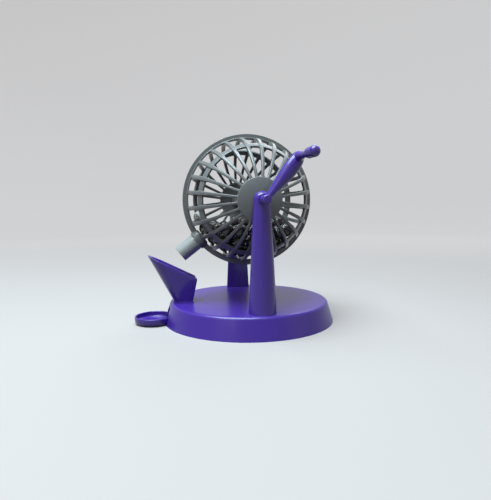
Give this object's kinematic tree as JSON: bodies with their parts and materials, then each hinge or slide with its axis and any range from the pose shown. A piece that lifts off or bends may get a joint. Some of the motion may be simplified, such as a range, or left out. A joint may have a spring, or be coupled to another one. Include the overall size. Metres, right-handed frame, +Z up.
{
  "type": "bingo cage",
  "caption": "Table-top bingo cage: a ribbed ball cage turns between two posts by a crank, and a drawn ball drops through an outlet tube and a hopper into a dish.",
  "frame": {"origin": "centre of the base on the table, at the foot of the pillar under the deck", "axes": "+Z up, +Y along the axle from the crank side to the back, +X to the right, away from the hopper and the dish"},
  "size_m": [0.2457, 0.2603, 0.228],
  "materials": {
    "violet_plastic": "glossy moulded blue-violet plastic",
    "grey_plastic": "glossy moulded grey plastic",
    "steel": "plain bright screws and shafts",
    "ball_plastic": "glossy ivory-white ball",
    "dark_ball_plastic": "glossy brown-black balls"
  },
  "bodies": {
    "stand": {"base": "violet_plastic", "ball_tray": "violet_plastic", "tray_screws": "steel", "hopper": "violet_plastic", "crank_post": "violet_plastic", "rear_post": "violet_plastic", "post_screws": "steel", "low_balls": "dark_ball_plastic", "top_balls": "dark_ball_plastic", "side_ball": "ball_plastic"},
    "cage": {"front_cage_half": "grey_plastic", "rear_cage_half": "grey_plastic", "rim_screw_set": "steel", "outlet_tube": "grey_plastic", "crank_shaft": "steel", "rear_axle": "violet_plastic", "hub_washers": "steel", "hub_screws": "steel", "crank_arm": "violet_plastic", "knob_pin": "steel"},
    "knob": {"crank_knob": "violet_plastic"}
  },
  "joints": [
    {"name": "cage_spin", "type": "hinge", "parent": "stand", "child": "cage", "pos_m": [0, 0, 0.148], "axis": [0, -1, 0], "continuous": true},
    {"name": "knob_spin", "type": "hinge", "parent": "cage", "child": "knob", "pos_m": [0.03348, -0.1063, 0.19163], "axis": [0, -1, 0], "continuous": true}
  ]
}
